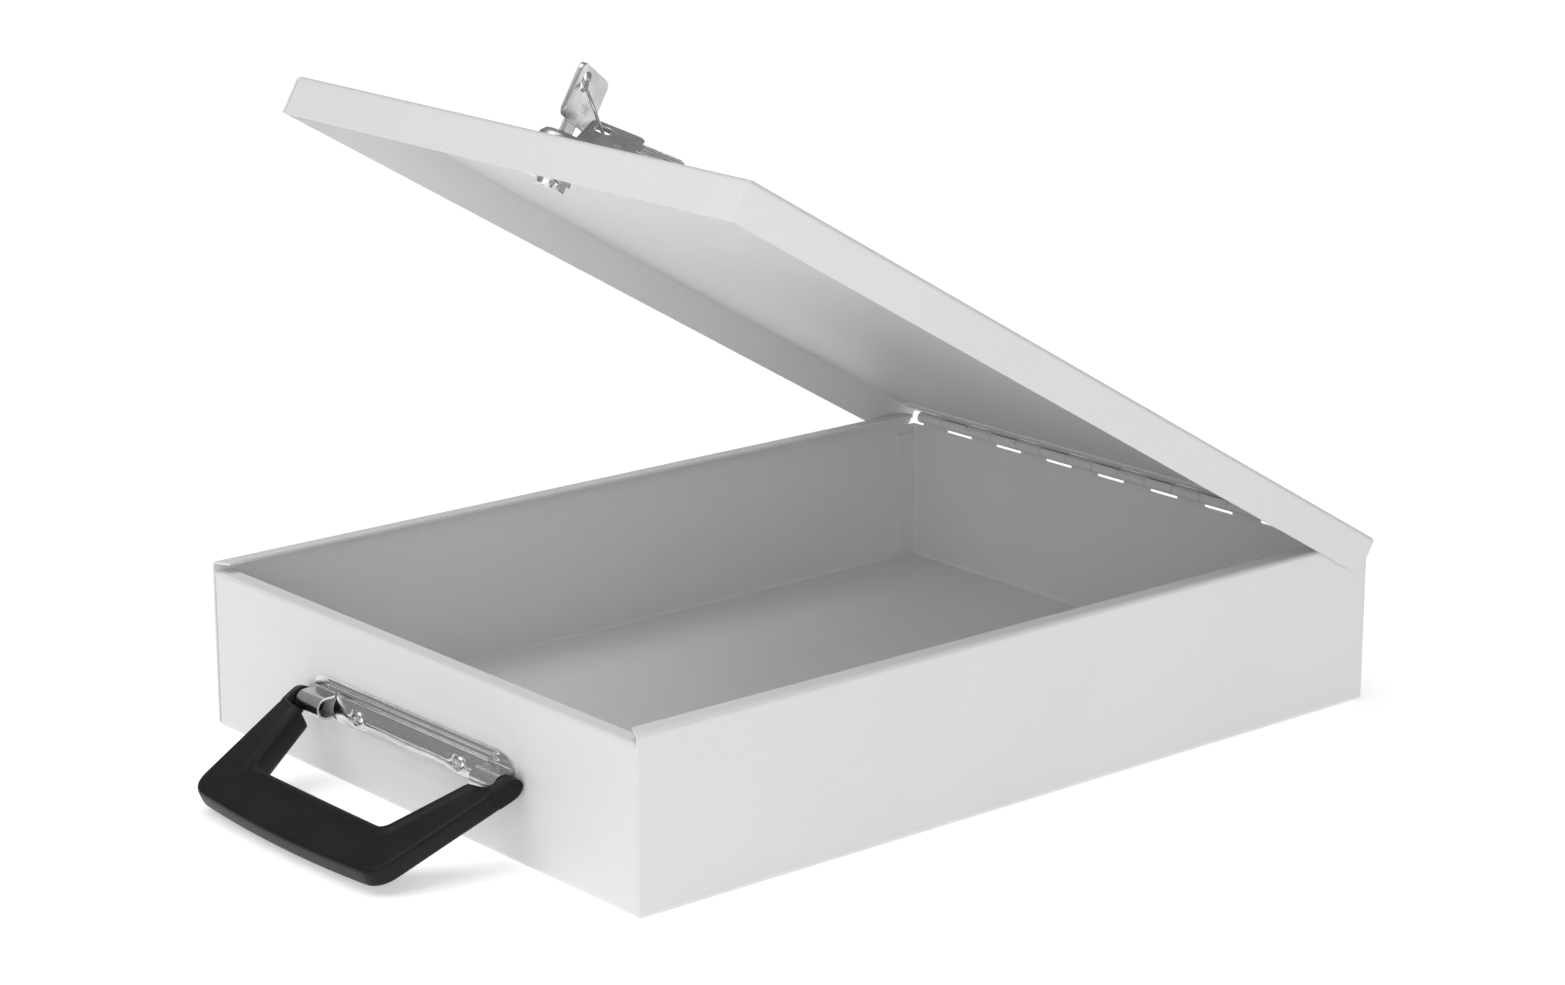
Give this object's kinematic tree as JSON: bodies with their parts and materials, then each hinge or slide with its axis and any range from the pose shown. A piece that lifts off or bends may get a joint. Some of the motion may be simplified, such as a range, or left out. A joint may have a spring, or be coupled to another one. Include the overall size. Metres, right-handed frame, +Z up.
{
  "type": "document box",
  "caption": "Lockable steel document box: hinged overlapping lid, cam lock with two keys on a ring, and a folding carry handle.",
  "frame": {"origin": "centre of the tray's flat underside", "axes": "+Z up, +Y from the handle end to the hinge end, +X across the box, to the right seen from the handle end"},
  "size_m": [0.2604, 0.4103, 0.2593],
  "materials": {
    "coat": "fine textured powder coat, light grey",
    "zinc": "bright zinc plate",
    "steel": "plain steel",
    "nickel": "nickel plate",
    "brass": "plain brass",
    "black_plastic": "fine grained black plastic"
  },
  "bodies": {
    "tray_body": {"tray": "coat", "hinge_tray_leaf": "coat", "hinge_pin": "steel", "handle_bracket": "zinc", "handle_rivets": "zinc"},
    "lid_body": {"lid": "coat", "hinge_lid_leaf": "coat", "lock_housing": "nickel", "lock_nut": "zinc"},
    "handle_body": {"handle": "black_plastic"},
    "plug_body": {"lock_plug": "nickel", "lock_cam": "zinc", "cam_washer": "zinc", "cam_screw": "zinc", "wafers": "brass", "wafer_springs": "steel"},
    "key_body": {"key": "nickel"},
    "ring_body": {"key_ring": "steel"},
    "spare_key_body": {"spare_key": "nickel"}
  },
  "joints": [
    {"name": "lid_hinge", "type": "hinge", "parent": "tray_body", "child": "lid_body", "pos_m": [0, 0.1717, 0.0632], "axis": [-1, 0, 0], "range_deg": [-30, 60]},
    {"name": "handle_pivot", "type": "hinge", "parent": "tray_body", "child": "handle_body", "pos_m": [0, -0.1802, 0.029], "axis": [-1, 0, 0], "range_deg": [-64, 95]},
    {"name": "lock_turn", "type": "hinge", "parent": "lid_body", "child": "plug_body", "pos_m": [0, -0.10785, 0.22881], "axis": [0, 0.5, 0.866], "range_deg": [-28, 62]},
    {"name": "key_withdraw", "type": "slide", "parent": "plug_body", "child": "key_body", "axis": [0, 0.5, 0.866], "range_m": [0, 0.014]},
    {"name": "ring_swing", "type": "hinge", "parent": "key_body", "child": "ring_body", "pos_m": [0.00143, -0.09748, 0.25216], "axis": [0.4695, -0.7647, 0.4415], "range_deg": [0, 22]},
    {"name": "spare_key_swing", "type": "hinge", "parent": "ring_body", "child": "spare_key_body", "pos_m": [0.00773, -0.09424, 0.23469], "axis": [0.341, 0.1163, 0.9328], "range_deg": [-8, 60]}
  ]
}
